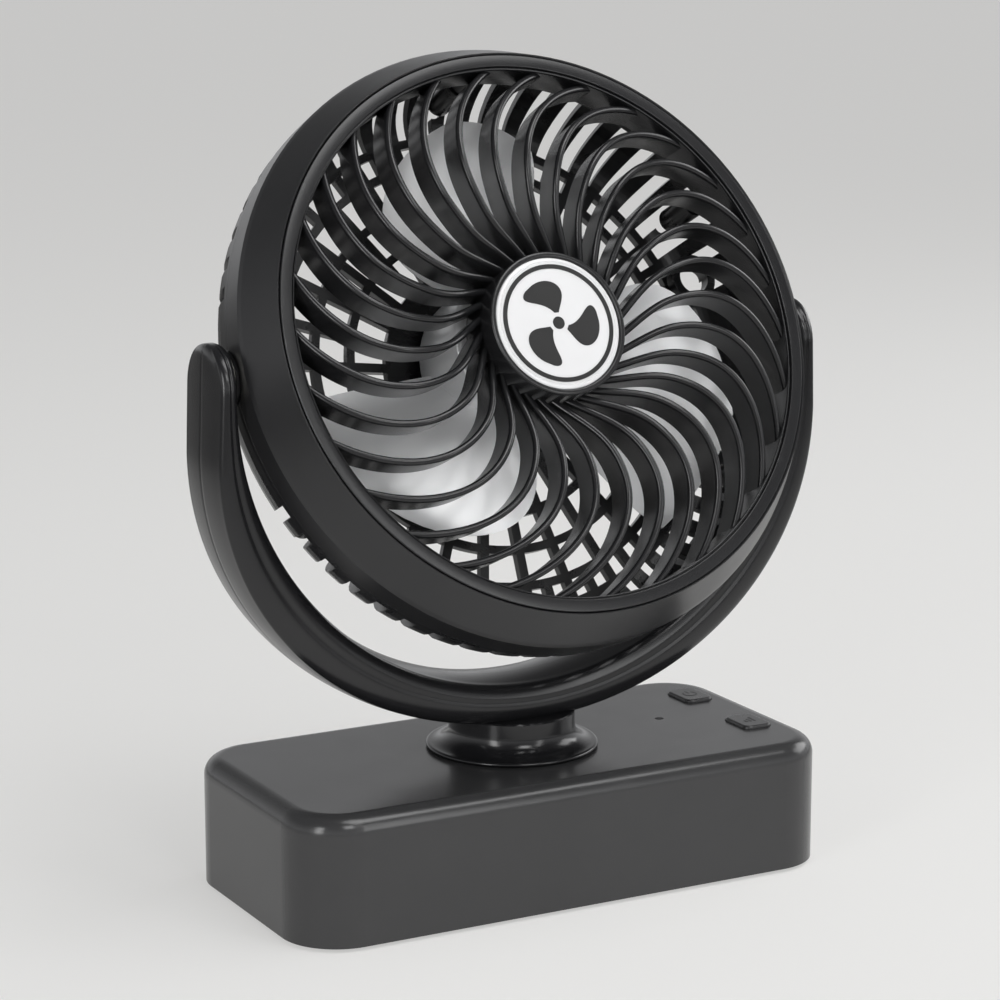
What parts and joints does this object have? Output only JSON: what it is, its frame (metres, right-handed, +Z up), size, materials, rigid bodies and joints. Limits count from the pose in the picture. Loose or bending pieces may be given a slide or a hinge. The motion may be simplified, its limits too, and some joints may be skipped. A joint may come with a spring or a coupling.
{
  "type": "portable camping fan",
  "caption": "Round tilting fan head with a domed spiral grille, held in a U-shaped yoke that swivels on a flat battery base with push buttons.",
  "frame": {"origin": "middle of the base's underside, where the pad meets the table", "axes": "+Z up, -Y to the front where the base's long side and the fan's grille face, +X to the user's right"},
  "size_m": [0.2036, 0.1136, 0.2502],
  "materials": {
    "base_plastic": "satin black ABS, glossier on top",
    "cover_plastic": "matt black ABS",
    "pad_rubber": "matt",
    "button_plastic": "satin with a faint printed sign",
    "yoke_plastic": "glossy black ABS",
    "neck_plastic": "glossy black ABS",
    "grille_plastic": "satin dark grey ABS",
    "shell_plastic": "satin dark grey ABS",
    "rear_plastic": "satin black ABS",
    "badge_plastic": "glossy white disc with a black ring",
    "blade_plastic": "silver metallic ABS",
    "bush_plastic": "plain acetal",
    "screw_steel": "zinc plated",
    "motor_steel": "plain",
    "magnet": "plain",
    "coil_copper": "enamelled copper",
    "board_green": "solder mask",
    "switch_plastic": "plain",
    "cell_sleeve": "shrink sleeve",
    "light_clear": "clear light guide"
  },
  "bodies": {
    "base": {"base_housing": "base_plastic", "base_cover": "cover_plastic", "base_pad": "pad_rubber", "base_screws": "screw_steel", "battery_cells": "cell_sleeve", "main_board": "board_green", "board_screws": "screw_steel", "button_switches": "switch_plastic", "charging_port": "motor_steel", "status_light": "light_clear", "swivel_bush": "bush_plastic"},
    "power_key": {"power_button": "button_plastic"},
    "speed_key": {"speed_button": "button_plastic"},
    "yoke": {"neck": "neck_plastic", "neck_screws": "screw_steel", "swivel_washer": "motor_steel", "stem_circlip": "motor_steel", "yoke_front": "yoke_plastic", "yoke_rear": "yoke_plastic", "yoke_screws": "screw_steel"},
    "head": {"tilt_pins": "motor_steel", "tilt_washers": "bush_plastic", "front_grille": "grille_plastic", "hub_badge": "badge_plastic", "front_shell": "shell_plastic", "rear_housing": "rear_plastic", "head_screws": "screw_steel", "motor_mount": "motor_steel", "motor_screws": "screw_steel", "motor_bearings": "motor_steel", "stator_core": "motor_steel", "stator_coils": "coil_copper", "motor_board": "board_green"},
    "rotor": {"motor_shaft": "motor_steel", "shaft_clip": "motor_steel", "rotor_cup": "motor_steel", "rotor_magnet": "magnet", "impeller": "blade_plastic"}
  },
  "joints": [
    {"name": "yoke_swivel", "type": "hinge", "parent": "base", "child": "yoke", "pos_m": [0, 0, 0.04], "axis": [0, 0, 1], "range_deg": [-90, 90]},
    {"name": "head_tilt", "type": "hinge", "parent": "yoke", "child": "head", "pos_m": [0, 0, 0.1614], "axis": [-1, 0, 0], "range_deg": [-115.3, 64.7]},
    {"name": "impeller_spin", "type": "hinge", "parent": "head", "child": "rotor", "pos_m": [0, 0, 0.1614], "axis": [0, -0.9041, 0.4274], "continuous": true},
    {"name": "power_press", "type": "slide", "parent": "base", "child": "power_key", "axis": [0, 0, -1], "range_m": [0, 0.0005], "stiffness_N_per_m": 900, "springref_m": -0.0003},
    {"name": "speed_press", "type": "slide", "parent": "base", "child": "speed_key", "axis": [0, 0, -1], "range_m": [0, 0.0005], "stiffness_N_per_m": 900, "springref_m": -0.0003}
  ]
}
